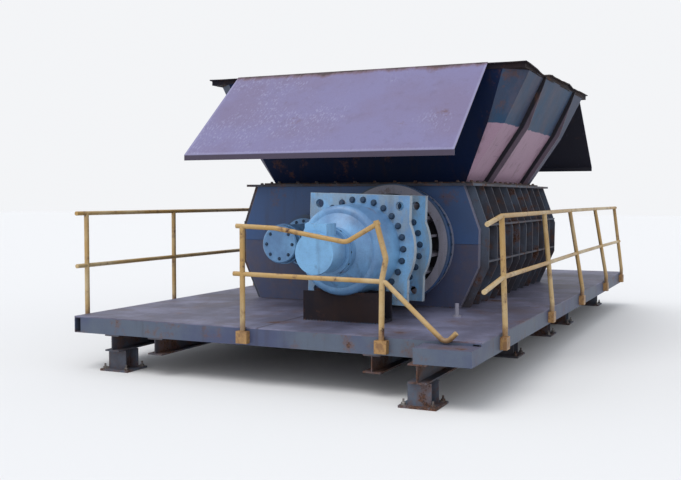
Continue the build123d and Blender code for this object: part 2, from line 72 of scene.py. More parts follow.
WALL_Y = 1.75
WALL_INNER_Y = 1.67
WALL_FOOT_X = 1.19
# Each of an end wall's side edges as x, at z, and how far it moves out for each metre up.
WALL_EDGES = ((1.190, 0.52, 0.4535), (1.385, 0.95, 0.0128), (1.390, 1.34, -0.3587))

RING_FOOT_Y = 1.81
RING_MOUTH_Y = 2.02
RING_FOOT_RADIUS = 0.605
RING_RADIUS = 0.632
RING_MOUTH_RADIUS = 0.528
RING_LIP = 0.060
POCKETS = 16
POCKET_RIB = 0.025
TAIL_FLANGE_Y = 1.99
TAIL_END_Y = 2.55
FLANGE_TWO_Y = 2.45
FLANGE_ONE_Y = 2.89
FLANGE_HALF = 0.52
FLANGE_RADIUS = 0.58
FLANGE_TILT = 0.0314
GEARBOX_END_Y = 3.52
SADDLE_Y = 3.26
SADDLE_HALF = 0.40
DRUM_FRONT_RADIUS = 0.415

HOPPER_LOW = 1.845
HOPPER_BEND = 2.455
HOPPER_BEND_SHARE = 0.6
HOPPER_FOOT = (1.167, 1.451)
HOPPER_FLARE = (0.683, 0.279)
HOPPER_RIB_Y = 0.83
HOPPER_FOOT_FACET = 0.010
RIM_FACET = 0.225
RIM_LOW = 3.0
RIM_INSET = 0.030
RIM_HEIGHT = 0.052
RIM_STEPS = 24
RIM_GUSSET = RIM_FACET + 0.05
# How the right side's rim is bent up and down, as (share of its length, metres).
RIM_DENTS = ((0, 0), (0.24, -0.055), (0.30, -0.01), (0.45, 0), (0.64, 0.008), (0.70, -0.015), (1, 0))
ROOF_TOP_Y = 1.76
ROOF_TOP_Z = 3.06
ROOF_LIP_Y = 2.87
ROOF_LIP_Z = 2.125
ROOF_SLOPE = (ROOF_TOP_Z - ROOF_LIP_Z) / (ROOF_LIP_Y - ROOF_TOP_Y)
ROOF_HALF_WIDTHS = {"front": 1.475, "rear": 1.755}

# Fittings that scene.py adds. Bolt circles are (count, radius), and plugs (degrees round the drum, place).
GEARBOX_COVER_BOLTS = (12, 0.203)
TAIL_FLANGE_BOLTS = (16, 0.23)
TAIL_COVER_BOLTS = (8, 0.15)
FLANGE_BOLT_START = 0.05
PLUGS = ((135, 3.02), (150, 3.16), (215, 3.10))
STUB_Y = 2.66
STUB_SEAT = 0.405
STUB_OFFSET = 0.12
PLATE_BOLT_PITCH = 0.24
HOPPER_SIDE_BOLTS = (1.215, -1.44)
HOPPER_END_BOLTS = (-1.08, -1.50)
COVER_PLATE_BOLTS = (-1.2, -1.70)
BEAD_PITCH = 0.03

# The photograph's viewpoint, fitted to its corners and edges, and the stage.
CAMERA_PLACE = (4.077, -11.057, 1.673)
CAMERA_YAW = 114.6
CAMERA_PITCH = -2.6
CAMERA_LENS = 49.0
FLOOR_HALF = 80
SEEN_SKY = (0.90, 0.91, 0.93, 1)
LIT_SKY = (0.86, 0.91, 1.0, 1)
LIT_SKY_STRENGTH = 0.85
SUNS = (("sky_light", (0.25, 0.45, -1.0), 1.5, 40), ("front_light", (-0.35, 0.9, -0.35), 0.55, 60))

HALF_TURN = Matrix.Rotation(math.pi, 4, "Z")


def paint(red, green, blue):
    """A colour given as it looks on screen, 0 to 255, in Blender's linear values."""
    shown = [value / 255 for value in (red, green, blue)]
    return tuple(v / 12.92 if v <= 0.04045 else ((v + 0.055) / 1.055) ** 2.4 for v in shown)


def colour_prop(name, description, default):
    return FloatVectorProperty(
        name=name, description=description, default=default, subtype="COLOR", size=3, min=0, max=1
    )


def length_prop(name, description, default):
    return FloatProperty(
        name=name, description=description, default=default, min=0, subtype="DISTANCE", unit="LENGTH"
    )


class ShredderFinishes(PropertyGroup):
    """Colours of the machine's paints, primers and bare steel."""

    roof: colour_prop("Roof primer", "Mauve primer of the two sloping roofs", paint(117, 112, 148))
    roof_worn: colour_prop("Roof wear", "Browner worn primer of the roofs", paint(114, 105, 136))
    roof_pale: colour_prop("Roof scuffs", "Pale rubbed streaks on the roofs", paint(142, 140, 170))
    roof_lip: colour_prop("Roof lip", "Shaded brown-mauve face of the roofs' folded lips", paint(72, 64, 80))
    # The roofs' underside colour is painted shade: dark where the roofs hide the sky.
    roof_under_shade: colour_prop("Roof underside", "Dark unwashed underside of the roofs", paint(34, 34, 44))
    hopper: colour_prop("Hopper paint", "Blue-grey paint of the hopper's upper walls", paint(30, 67, 98))
    hopper_worn: colour_prop("Hopper wear", "Greyer worn paint of the upper walls", paint(55, 64, 86))
    hopper_low: colour_prop("Hopper primer", "Dusty pink primer of the lower walls", paint(160, 132, 150))
    # Dark blue paint of the end walls, made darker still as painted shade from the roofs above them.
    hopper_ends_paint_and_shade: colour_prop("Hopper ends", "Dark blue paint of the end walls", paint(7, 25, 58))
    hopper_stain: colour_prop("Hopper end stains", "Duller dark blue on the end walls", paint(17, 30, 57))
    hopper_inside: colour_prop("Hopper inside", "Rubbed steel on the hopper's inner faces", paint(92, 84, 84))
    # Dark stained steel of the rim and feet, also used as painted shade on the saddles and at the ribs'
    # roots.
    hopper_grime_and_shade: colour_prop("Hopper ribs", "Dark stained steel of ribs, rim and saddles", paint(28, 27, 36))
    # Dusty paint on the upper walls, also used as painted light on the ribs' outer parts.
    rib_dust_and_light: colour_prop("Rib edges", "Dusty outer half of the hopper's ribs", paint(98, 86, 98))
    wall: colour_prop("End wall paint", "Blue-grey paint above the shafts", paint(46, 79, 126))
    wall_worn: colour_prop("End wall wear", "Duller worn paint above the shafts", paint(52, 76, 116))
    wall_low: colour_prop("End wall stain", "Stained paint below the shafts", paint(60, 68, 98))
    wall_edge: colour_prop("Plate edges", "Pale rubbed edges of the heavy end walls", paint(122, 120, 136))
    sides: colour_prop("Side wall paint", "Dark paint of the ribbed side walls and beams", paint(60, 57, 64))
    enamel: colour_prop("Drive enamel", "Light blue enamel of the gearboxes", paint(117, 168, 210))
    # Chalked and greasy enamel in blotches, also used as painted shade on the drives' lower parts.
    enamel_dull_and_shade: colour_prop("Dull enamel", "Chalked and greasy enamel", paint(86, 122, 162))
    enamel_grey: colour_prop("Flange enamel", "Greyer enamel of the eared flanges", paint(128, 142, 152))
    # Pale rubbed edges of the flanges, with a painted highlight along them.
    enamel_wear_and_highlight: colour_prop("Flange edges", "Pale rubbed edges of the eared flanges", paint(158, 168, 174))
    ring: colour_prop("Ring paint", "Blue-grey paint of the adapter rings", paint(58, 72, 88))
    ring_face: colour_prop("Ring face", "Pale rubbed faces of the adapter rings", paint(138, 136, 148))
    bolt: colour_prop("Drive bolts", "Dark greasy blue of the drives' bolts", paint(26, 54, 80))
    deck: colour_prop("Deck plate", "Mauve-grey walked-on primer of the deck", paint(78, 77, 96))
    deck_stain: colour_prop("Deck stain", "Brown stains on the deck", paint(84, 73, 80))
    deck_pale: colour_prop("Deck lanes", "Paler rubbed lanes of the deck", paint(116, 116, 140))
    deck_edge: colour_prop("Deck edge", "Worn blue-grey paint of the edge channels", paint(78, 88, 104))
    clamp: colour_prop("Rail clamps", "Rusty yellow of the handrails' clamps", paint(160, 122, 72))
    rail: colour_prop("Handrail yellow", "Worn yellow paint of the handrails", paint(168, 133, 76))
    rail_pale: colour_prop("Faded yellow", "Sun-bleached yellow paint", paint(186, 164, 124))
    rust: colour_prop("Rust", "Brown rust", paint(96, 62, 44))
    rust_dark: colour_prop("Old rust", "Dark rust and grime", paint(48, 36, 34))
    steel: colour_prop("Worn steel", "Bare steel of the cutters", paint(92, 86, 84))
    steel_bright: colour_prop("Rubbed steel", "Edges rubbed bright", paint(150, 146, 142))
    floor: colour_prop("Floor", "Pale studio floor", (0.74, 0.73, 0.715))


class ShredderSizes(PropertyGroup):
    """Sizes of the fittings that sit on the frame."""

    gear_bolts: IntProperty(
        name="Gearbox bolts", description="Bolts in the circle round each gearbox", default=26, min=4
    )
    gear_bolt_circle: length_prop("Gearbox bolt circle", "Radius of that circle", 0.468)
    gear_bolt: length_prop("Gearbox bolt", "Width across a gearbox bolt's head", 0.042)
    flange_bolts: IntProperty(
        name="Flange bolts", description="Bolts in the circle of each rear flange", default=26, min=4
    )
    flange_bolt_circle: length_prop("Flange bolt circle", "Radius of that circle", 0.475)
    ring_bolts: IntProperty(
        name="Ring bolts", description="Bolts that hold each adapter ring to the wall", default=36, min=4
    )
    ring_bolt_circle: length_prop("Ring bolt circle", "Radius of that circle", 0.590)
    cover_bolt: length_prop("Cover bolt", "Width across a small cover bolt's head", 0.024)
    plate_bolt: length_prop("Plate bolt", "Width across the bolts of the box and the hopper", 0.030)
    anchor_nut: length_prop("Anchor nut", "Width across an anchor nut", 0.036)
    rim_wave: length_prop("Rim wave", "How far the battered rim strays from straight", 0.030)
    rim_plate: length_prop("Rim plate", "Thickness of the rim's two plates", 0.012)
    weld_bead: length_prop("Weld bead", "Radius of the weld beads", 0.007)
    pin_height: length_prop("Deck pin", "Height of the upright pins on the deck", 0.13)


class Recipe:
    """A material under construction: its nodes read Object coordinates, in metres."""

    def __init__(self, name, rear=False):
        self.material = bpy.data.materials.new(name)
        self.material.use_nodes = True
        self.tree = self.material.node_tree
        self.shader = self.tree.nodes["Principled BSDF"]
        coordinates = self.tree.nodes.new("ShaderNodeTexCoord").outputs["Object"]
        if rear:
            turn = self.tree.nodes.new("ShaderNodeMapping")
            turn.inputs["Rotation"].default_value = (0, 0, math.pi)
            self.link(coordinates, turn.inputs["Vector"])
            coordinates = turn.outputs["Vector"]
        self.coordinates = coordinates
        self.axes = None

    def link(self, source, target):
        self.tree.links.new(source, target)

    def feed(self, socket, value):
        """Links a node's output, or sets a plain number or colour."""
        if isinstance(value, bpy.types.NodeSocket):
            self.link(value, socket)
        elif hasattr(value, "__len__") and len(value) == 3 and socket.type == "RGBA":
            socket.default_value = (*value, 1)
        else:
            socket.default_value = value

    def math(self, operation, a, b=0.0):
        """One sum on numbers or sockets; the four methods below name the commonest."""
        node = self.tree.nodes.new("ShaderNodeMath")
        node.operation = operation
        self.feed(node.inputs[0], a)
        self.feed(node.inputs[1], b)
        return node.outputs[0]

    def add(self, a, b):
        return self.math("ADD", a, b)

    def minus(self, a, b):
        return self.math("SUBTRACT", a, b)

    def times(self, a, b):
        return self.math("MULTIPLY", a, b)

    def size(self, value):
        return self.math("ABSOLUTE", value)

    def axis(self, letter):
        if self.axes is None:
            self.axes = self.tree.nodes.new("ShaderNodeSeparateXYZ")
            self.link(self.coordinates, self.axes.inputs[0])
        return self.axes.outputs[letter]

    def about_rotor(self):
        """X and Z from the driven rotor's axis, and the distance from it."""
        x = self.minus(self.axis("X"), ROTOR_X)
        z = self.minus(self.axis("Z"), ROTOR_Z)
        return x, z, self.math("SQRT", self.add(self.times(x, x), self.times(z, z)))

    def noise(self, scale, detail=5.0, roughness=0.6, stretch=(1, 1, 1), shift=0.0):
        """Noise of so many cells a metre, stretched by smaller numbers along an axis."""
        node = self.tree.nodes.new("ShaderNodeTexNoise")
        place = self.tree.nodes.new("ShaderNodeMapping")
        place.inputs["Scale"].default_value = stretch
        place.inputs["Location"].default_value = (shift, shift * 0.7, shift * 1.3)
        self.link(self.coordinates, place.inputs["Vector"])
        self.link(place.outputs["Vector"], node.inputs["Vector"])
        node.inputs["Scale"].default_value = scale
        node.inputs["Detail"].default_value = detail
        node.inputs["Roughness"].default_value = roughness
        return node.outputs["Fac"]

    def rise(self, value, low, high, top=1.0):
        """0 at low and top at high, with a soft change between; high may be the lesser of the two."""
        node = self.tree.nodes.new("ShaderNodeMapRange")
        node.interpolation_type = "SMOOTHSTEP"
        self.feed(node.inputs["Value"], value)
        node.inputs["From Min"].default_value = low
        node.inputs["From Max"].default_value = high
        node.inputs["To Max"].default_value = top
        return node.outputs["Result"]

    def mix(self, share, first, second, kind="RGBA"):
        """The first colour, or number where kind says FLOAT, turning into the second as share goes to 1."""
        node = self.tree.nodes.new("ShaderNodeMix")
        node.data_type = kind
        self.feed(node.inputs["Factor"], share)
        self.feed(node.inputs["A"], first)
        self.feed(node.inputs["B"], second)
        return node.outputs["Result"]

    def finish(self, colour, roughness, height, relief=0.004):
        """Feeds the shader, with the height as a faint relief of so many metres."""
        bump = self.tree.nodes.new("ShaderNodeBump")
        bump.inputs["Strength"].default_value = 0.5
        bump.inputs["Distance"].default_value = relief
        self.link(height, bump.inputs["Height"])
        self.link(bump.outputs["Normal"], self.shader.inputs["Normal"])
        self.link(colour, self.shader.inputs["Base Color"])
        self.link(roughness, self.shader.inputs["Roughness"])
        return self.material


def weathered(
    finish, name, coat, faded, rust_share, patch, drips, gloss, zones=None, rear=False, scuffs=0.5, shine=0.5
):
    """Old paint: blotches of faded colour, drips down the sides, rust patches, scuffs and pits.

    The shares of rust, drips, scuffs, roughness (gloss) and shine run from 0 to 1, and patch is how many rust
    patches lie on a metre. zones paints the piece's own areas, and rear turns it all for the rear end.
    """
    rust, dark = finish.rust, finish.rust_dark
    r = Recipe(name, rear)
    r.shader.inputs["Specular IOR Level"].default_value = shine
    blotch = r.rise(r.noise(1.3, 6, 0.62, shift=3.1), 0.38, 0.66)
    colour = r.mix(blotch, coat, faded)
    if zones:
        colour = zones(r, colour)
    drip = r.noise(9, 4, 0.6, (1, 1, 0.12), 7.7)
    colour = r.mix(r.rise(drip, 0.52, 0.75, drips), colour, dark)
    grain = r.noise(60, 4, 0.7, shift=1.9)
    patches = r.add(r.noise(patch, 8, 0.68, shift=5.3), r.times(grain, 0.12))
    edge = 0.78 - 0.30 * rust_share
    rusted = r.rise(patches, edge, edge + 0.05)
    halo = r.rise(patches, edge - 0.09, edge + 0.02, 0.55)
    rusty = r.mix(r.rise(grain, 0.4, 0.62), rust, dark)
    colour = r.mix(halo, colour, rust)
    colour = r.mix(rusted, colour, rusty)
    scratch = r.noise(26, 3, 0.5, (1, 0.08, 0.6), 2.2)
    colour = r.mix(r.rise(scratch, 0.66, 0.72, scuffs), colour, faded)
    fine = r.noise(140, 2, 0.5, shift=0.4)
    colour = r.mix(r.rise(fine, 0.45, 0.8, 0.22), colour, dark)
    roughness = r.mix(rusted, gloss, 0.88, "FLOAT")
    height = r.add(r.times(grain, 0.5), r.times(rusted, -0.6))
    return r.finish(colour, roughness, height)


def worn_steel(finish, name, coat, bright, rust_share):
    """Bare steel that scrap has rubbed bright and weather has rusted."""
    rust, dark = finish.rust, finish.rust_dark
    r = Recipe(name)
    rub = r.rise(r.noise(7, 6, 0.7, (1, 0.25, 1), 4.0), 0.45, 0.7, 0.7)
    colour = r.mix(rub, coat, bright)
    grain = r.noise(70, 4, 0.7, shift=2.0)
    patches = r.noise(4.5, 8, 0.7, shift=9.0)
    edge = 0.74 - 0.32 * rust_share
    rusted = r.rise(patches, edge, edge + 0.1)
    rusty = r.mix(r.rise(grain, 0.4, 0.62), rust, dark)
    colour = r.mix(rusted, colour, rusty)
    roughness = r.mix(rusted, 0.42, 0.85, "FLOAT")
    r.shader.inputs["Metallic"].default_value = 0.55
    return r.finish(colour, roughness, grain, 0.003)


def hopper_share(r):
    """How far up its flare the hopper is: 0 at its foot and 1 at the rim, with the bend between."""
    low_rate = HOPPER_BEND_SHARE / (HOPPER_BEND - HOPPER_LOW)
    high_rate = (1 - HOPPER_BEND_SHARE) / (RIM_LOW - HOPPER_BEND)
    low = r.times(r.minus(r.axis("Z"), HOPPER_LOW), low_rate)
    high = r.add(r.times(r.minus(r.axis("Z"), HOPPER_BEND), high_rate), HOPPER_BEND_SHARE)
    return r.math("MINIMUM", low, high)


def rubbed_inside(r, colour, depth, finish):
    """Steel that scrap has rubbed bare, with rust over it, where a wall's face lies inside by some depth."""
    rub = r.noise(3.2, 7, 0.7, (1, 1, 0.5), 4.9)
    bare = r.mix(r.rise(rub, 0.42, 0.62), finish.hopper_inside, finish.rust_dark)
    bare = r.mix(r.rise(r.noise(9, 5, 0.7, (1, 1, 0.3), 8.3), 0.55, 0.70, 0.6), bare, finish.rust)
    return r.mix(r.rise(depth, 0.004, 0.008), colour, bare)


def roof_zones(finish, half_width):
    """Flecks and pale worn edges, a rusty strip under the rim, and painted shade on the lip and the
    underside.
    """

    def zones(r, colour):
        scuff = r.noise(48, 3, 0.6, (1, 0.45, 0.45), 6.6)
        where = r.noise(1.6, 3, 0.6, shift=9.2)
        left = r.times(r.rise(r.axis("X"), 0.6, -0.9), 0.2)
        fleck = r.times(r.rise(scuff, 0.54, 0.62), r.rise(r.add(where, left), 0.56, 0.74))
        colour = r.mix(r.times(fleck, 0.6), colour, finish.roof_pale)
        worn = r.add(r.axis("Z"), r.times(scuff, -0.05))
        colour = r.mix(r.rise(worn, ROOF_LIP_Z, ROOF_LIP_Z - 0.02, 0.5), colour, finish.roof_pale)
        side = r.size(r.axis("X"))
        colour = r.mix(r.rise(side, half_width - 0.03, half_width - 0.012, 0.6), colour, finish.roof_pale)
        ragged = r.times(r.noise(5, 5, 0.7, (1, 0.3, 0.3), 2.3), 0.16)
        top = r.add(r.axis("Z"), ragged)
        colour = r.mix(r.rise(top, ROOF_TOP_Z + 0.02, ROOF_TOP_Z + 0.06, 0.6), colour, finish.rust)
        colour = r.mix(r.rise(top, ROOF_TOP_Z + 0.05, ROOF_TOP_Z + 0.08, 0.8), colour, finish.rust_dark)
        # Painted shade: the lip's face and the underside turn dark.
        below = r.rise(r.axis("Z"), ROOF_LIP_Z - 0.004, ROOF_LIP_Z - 0.01)
        lip = r.times(r.rise(r.axis("Y"), -ROOF_LIP_Y + 0.002, -ROOF_LIP_Y + 0.0005), below)
        colour = r.mix(lip, colour, finish.roof_lip)
        out = r.add(r.axis("Y"), ROOF_TOP_Y)
        plane = r.add(r.times(out, ROOF_SLOPE), ROOF_TOP_Z)
        fall = r.minus(r.axis("Z"), plane)
        behind_lip = r.rise(r.axis("Y"), -ROOF_LIP_Y + 0.003, -ROOF_LIP_Y + 0.007)
        under = r.times(r.rise(fall, -0.006, -0.009), behind_lip)
        return r.mix(under, colour, finish.roof_under_shade)

    return zones


def hopper_zones(finish):
    """Blue-grey above the bend, dusty pink below it, and ribs painted with shade at their roots and painted
    light further out.
    """

    def zones(r, colour):
        ragged = r.times(r.noise(6, 4, 0.6, shift=1.1), 0.04)
        level = r.add(r.axis("Z"), ragged)
        colour = r.mix(r.rise(level, HOPPER_BEND + 0.017, HOPPER_BEND + 0.025), finish.hopper_low, colour)
        stain = r.rise(r.noise(4.5, 6, 0.7, (1, 1, 0.6), 7.3), 0.46, 0.66, 0.25)
        upper = r.rise(r.axis("Z"), HOPPER_BEND + 0.01, HOPPER_BEND + 0.03)
        colour = r.mix(r.times(stain, upper), colour, finish.rib_dust_and_light)
        along = r.times(r.axis("Y"), r.math("SIGN", r.axis("X")))
        far = r.rise(along, HOPPER_RIB_Y - 0.005, HOPPER_RIB_Y + 0.005, 0.9)
        colour = r.mix(far, colour, finish.hopper_worn)
        share = hopper_share(r)
        x = r.size(r.axis("X"))
        y = r.size(r.axis("Y"))
        reach = r.minus(x, r.add(r.times(share, HOPPER_FLARE[0]), HOPPER_FOOT[0]))
        corner_flare = sum(HOPPER_FLARE) - RIM_FACET + HOPPER_FOOT_FACET
        corner = r.add(r.times(share, corner_flare), sum(HOPPER_FOOT) - HOPPER_FOOT_FACET)
        facet = r.times(r.minus(r.add(x, y), corner), math.sqrt(0.5))
        colour = rubbed_inside(r, colour, r.times(r.math("MAXIMUM", reach, facet), -1), finish)
        # Painted shade on the ribs near the wall and on the outer wall beside them, turning to painted light
        # on the ribs' outer parts.
        near_rib = r.rise(r.size(r.minus(y, HOPPER_RIB_Y)), 0.022, 0.014)
        near_rib = r.times(near_rib, r.rise(reach, -0.006, -0.003))
        rib_shade_and_light = r.mix(r.rise(reach, 0.045, 0.060), finish.hopper_grime_and_shade, finish.rib_dust_and_light)
        return r.mix(near_rib, colour, rib_shade_and_light)

    return zones


def hopper_end_zones(finish):
    """The end walls are rubbed bare inside too."""

    def zones(r, colour):
        plane = r.add(r.times(hopper_share(r), HOPPER_FLARE[1]), HOPPER_FOOT[1])
        depth = r.minus(plane, r.size(r.axis("Y")))
        return rubbed_inside(r, colour, depth, finish)

    return zones


def wall_zones(finish):
    """Blue-grey paint above the split at shaft height, stained below it, with rubbed edges and inner face."""

    def zones(r, colour):
        stain = r.rise(r.noise(3.6, 7, 0.72, shift=6.1), 0.44, 0.62, 0.45)
        low = r.mix(stain, finish.wall_low, finish.deck_stain)
        colour = r.mix(r.rise(r.axis("Z"), ROTOR_Z - 0.001, ROTOR_Z + 0.001), low, colour)
        sides = []
        for x, z, lean in WALL_EDGES:
            rise = r.minus(r.axis("Z"), z)
            sides.append(r.add(r.times(rise, lean), x))
        outline = r.math("MINIMUM", r.math("MINIMUM", sides[0], sides[1]), sides[2])
        reach = r.minus(r.size(r.axis("X")), outline)
        rubbed = r.add(reach, r.times(r.noise(14, 4, 0.7, shift=2.9), 0.004))
        colour = r.mix(r.rise(rubbed, -0.002, 0.0005, 0.85), colour, finish.wall_edge)
        depth = r.minus(WALL_INNER_Y + 0.008, r.size(r.axis("Y")))
        return rubbed_inside(r, colour, depth, finish)

    return zones


def ring_zones(finish):
    """The ring's front face and foot are rubbed pale, and its pockets are dark between paler ribs."""

    def zones(r, colour):
        x, z, radius = r.about_rotor()
        outside = r.rise(radius, RING_FOOT_RADIUS - 0.005, RING_FOOT_RADIUS - 0.001)
        foot = r.times(outside, r.rise(r.axis("Y"), -RING_FOOT_Y - 0.010, -RING_FOOT_Y - 0.004))
        foot = r.times(foot, r.rise(radius, RING_FOOT_RADIUS + 0.0015, RING_FOOT_RADIUS + 0.0005, 0.7))
        colour = r.mix(foot, colour, finish.ring_face)
        out = r.rise(r.axis("Y"), -RING_MOUTH_Y + RING_LIP + 0.004, -RING_MOUTH_Y + RING_LIP)
        rim = r.rise(radius, RING_MOUTH_RADIUS - 0.004, RING_MOUTH_RADIUS)
        rim = r.times(rim, r.rise(radius, RING_RADIUS - 0.010, RING_RADIUS - 0.016))
        colour = r.mix(r.times(out, rim), colour, finish.ring_face)
        pocket = r.rise(radius, RING_MOUTH_RADIUS, RING_MOUTH_RADIUS - 0.004, 0.85)
        colour = r.mix(pocket, colour, finish.rust_dark)
        turn = r.math("FRACT", r.times(r.math("ARCTAN2", z, x), POCKETS / math.tau))
        aside = r.times(r.size(r.minus(turn, 0.5)), math.tau / POCKETS)
        rib = r.rise(r.times(aside, radius), POCKET_RIB / 2 + 0.0035, POCKET_RIB / 2 + 0.0005, 0.75)
        inside = r.times(rib, r.rise(radius, RING_MOUTH_RADIUS - 0.012, RING_MOUTH_RADIUS - 0.018))
        return r.mix(inside, colour, finish.ring_face)

    return zones


def enamel_zones(finish):
    """Enamel darkened towards the bottom as painted shade, with grey stains that run down it."""

    def zones(r, colour):
        # Darker towards the bottom: painted shade under the drives.
        low = r.add(r.axis("Z"), r.times(r.noise(5, 5, 0.6, shift=8.0), 0.3))
        colour = r.mix(r.rise(low, 1.15, 0.85, 0.6), colour, finish.enamel_dull_and_shade)
        stain = r.noise(11, 6, 0.7, (1, 1, 0.35), 3.3)
        return r.mix(r.rise(stain, 0.58, 0.72, 0.5), colour, finish.ring)

    return zones


def flange_zones(finish):
    """Greyer enamel with the eared plates' edges rubbed pale, with a painted highlight along them."""

    def zones(r, colour):
        grey = r.rise(r.noise(7, 5, 0.7, (1, 1, 0.4), 5.9), 0.38, 0.62, 0.75)
        colour = r.mix(grey, colour, finish.enamel_grey)
        x, z, radius = r.about_rotor()
        across = r.size(r.minus(x, r.times(z, FLANGE_TILT)))
        height = r.size(r.add(z, r.times(x, FLANGE_TILT)))
        side = r.math("MINIMUM", r.minus(across, FLANGE_HALF), r.minus(radius, FLANGE_RADIUS))
        edge = r.math("MAXIMUM", side, r.minus(height, FLANGE_HALF))
        # A pale line round the plates' outline: rubbed wear and a painted highlight.
        return r.mix(r.rise(edge, -0.004, -0.001, 0.85), colour, finish.enamel_wear_and_highlight)

    return zones


def deck_zones(finish):
    """Walked-on primer with paler rubbed lanes, rusty patches and a dark line along the seams."""

    def zones(r, colour):
        streak = r.noise(4, 6, 0.65, (1, 0.2, 1), 2.7)
        colour = r.mix(r.rise(streak, 0.52, 0.74, 0.5), colour, finish.deck_pale)
        patch = r.rise(r.noise(1.7, 6, 0.7, shift=4.4), 0.50, 0.66, 0.65)
        colour = r.mix(patch, colour, finish.deck_stain)
        seam = r.size(r.axis("X"))
        return r.mix(r.rise(seam, 0.02, 0.006, 0.6), colour, finish.rust_dark)

    return zones


def edge_zones(finish):
    """Worn blue-grey edges, with the landings' tops walked on like the deck."""

    def zones(r, colour):
        top = r.rise(r.axis("Z"), LANDING_TOP - 0.002, LANDING_TOP - 0.0005)
        outside = r.rise(r.size(r.axis("Y")), DECK_END_Y, DECK_END_Y + 0.005)
        walked = deck_zones(finish)(r, finish.deck)
        return r.mix(r.times(top, outside), colour, walked)

    return zones


def rail_zones(finish):
    """Yellow tubes on rusty clamps."""

    def zones(r, colour):
        clamp = r.mix(r.rise(r.noise(16, 6, 0.7, shift=3.7), 0.46, 0.60, 0.6), finish.clamp, finish.rust)
        foot = r.add(r.axis("Z"), r.times(r.noise(20, 4, 0.6, shift=1.2), -0.10))
        colour = r.mix(r.rise(foot, CLAMP_TOP + 0.06, CLAMP_TOP - 0.02, 0.6), colour, finish.rust)
        return r.mix(r.rise(r.axis("Z"), CLAMP_TOP + 0.004, CLAMP_TOP, 0.9), colour, clamp)

    return zones


def dress(nodes, material):
    """Gives CAD nodes their finish."""
    for name in nodes:
        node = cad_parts[name]
        node.data.materials.clear()
        node.data.materials.append(material)


def place(name, bm, material, slot, body="frame", smooth=False):
    """Turns a bmesh into a finished piece that rides on a body."""
    bmesh.ops.remove_doubles(bm, verts=bm.verts, dist=1e-6)
    bmesh.ops.recalc_face_normals(bm, faces=bm.faces)
    mesh = bpy.data.meshes.new(name)
    bm.to_mesh(mesh)
    bm.free()
    mesh.polygons.foreach_set("use_smooth", [smooth] * len(mesh.polygons))
    piece = bpy.data.objects.new(name, mesh)
    bpy.context.scene.collection.objects.link(piece)
    mesh.materials.append(material)
    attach(piece, body)
    return piece


def half_turn_copy(bm):
    """Adds the same fittings at the other end of the machine."""
    geometry = bm.verts[:] + bm.edges[:] + bm.faces[:]
    copied = bmesh.ops.duplicate(bm, geom=geometry)["geom"]
    moved = [item for item in copied if isinstance(item, bmesh.types.BMVert)]
    bmesh.ops.transform(bm, matrix=HALF_TURN, verts=moved)


def facing(direction):
    """The turn that takes +Z to a direction."""
    return Vector((0, 0, 1)).rotation_difference(Vector(direction)).to_matrix().to_4x4()


def hex_bolt(bm, seat, direction, width, spin=0.0, washer=True):
    """A hexagon head with a washer, standing on its seat."""
    height = width * 0.5
    turn = Matrix.Translation(seat) @ facing(direction) @ Matrix.Rotation(spin, 4, "Z")
    base = 0.0
    if washer:
        thick = width * 0.12
        bmesh.ops.create_cone(
            bm, cap_ends=True, segments=10, radius1=width * 0.78, radius2=width * 0.76, depth=thick,
            matrix=turn @ Matrix.Translation((0, 0, thick / 2)),
        )
        base = thick
    radius = width / math.sqrt(3)
    bmesh.ops.create_cone(
        bm, cap_ends=True, segments=6, radius1=radius, radius2=radius, depth=height * 0.8,
        matrix=turn @ Matrix.Translation((0, 0, base + height * 0.4)),
    )
    bmesh.ops.create_cone(
        bm, cap_ends=True, segments=6, radius1=radius, radius2=radius * 0.82, depth=height * 0.2,
        matrix=turn @ Matrix.Translation((0, 0, base + height * 0.9)),
    )


def bolt_circle(bm, x, y, count, radius, width, start=0.0):
    """Bolts round a circle at shaft height, with their heads to the front."""
    for i in range(count):
        angle = start + i * math.tau / count
        seat = Vector((x + radius * math.cos(angle), -y, ROTOR_Z + radius * math.sin(angle)))
        hex_bolt(bm, seat, Vector((0, -1, 0)), width, spin=angle * 3)


def bolt_row(bm, start, step, count, width):
    """Upright bolts in a row, each turned further than the last."""
    for i in range(count):
        hex_bolt(bm, Vector(start) + Vector(step) * i, Vector((0, 0, 1)), width, i)


def rod(bm, start, end, radius, segments=16):
    """A round bar between two points."""
    start = Vector(start)
    end = Vector(end)
    along = end - start
    bmesh.ops.create_cone(
        bm, cap_ends=True, segments=segments, radius1=radius, radius2=radius, depth=along.length,
        matrix=Matrix.Translation((start + end) / 2) @ facing(along.normalized()),
    )


def prism(bm, outline, low, high):
    """A flat plate with a given outline in plan."""
    base = bm.faces.new([bm.verts.new((x, y, low)) for x, y in outline])
    raised = bmesh.ops.extrude_face_region(bm, geom=[base], use_keep_orig=True)["geom"]
    moved = [item for item in raised if isinstance(item, bmesh.types.BMVert)]
    bmesh.ops.translate(bm, verts=moved, vec=(0, 0, high - low))


def between(table, share):
    """Reads a table of (share, value) rows, straight between the rows."""
    for (s0, v0), (s1, v1) in zip(table, table[1:]):
        if share <= s1:
            return v0 + (v1 - v0) * (share - s0) / (s1 - s0)
    return table[-1][1]


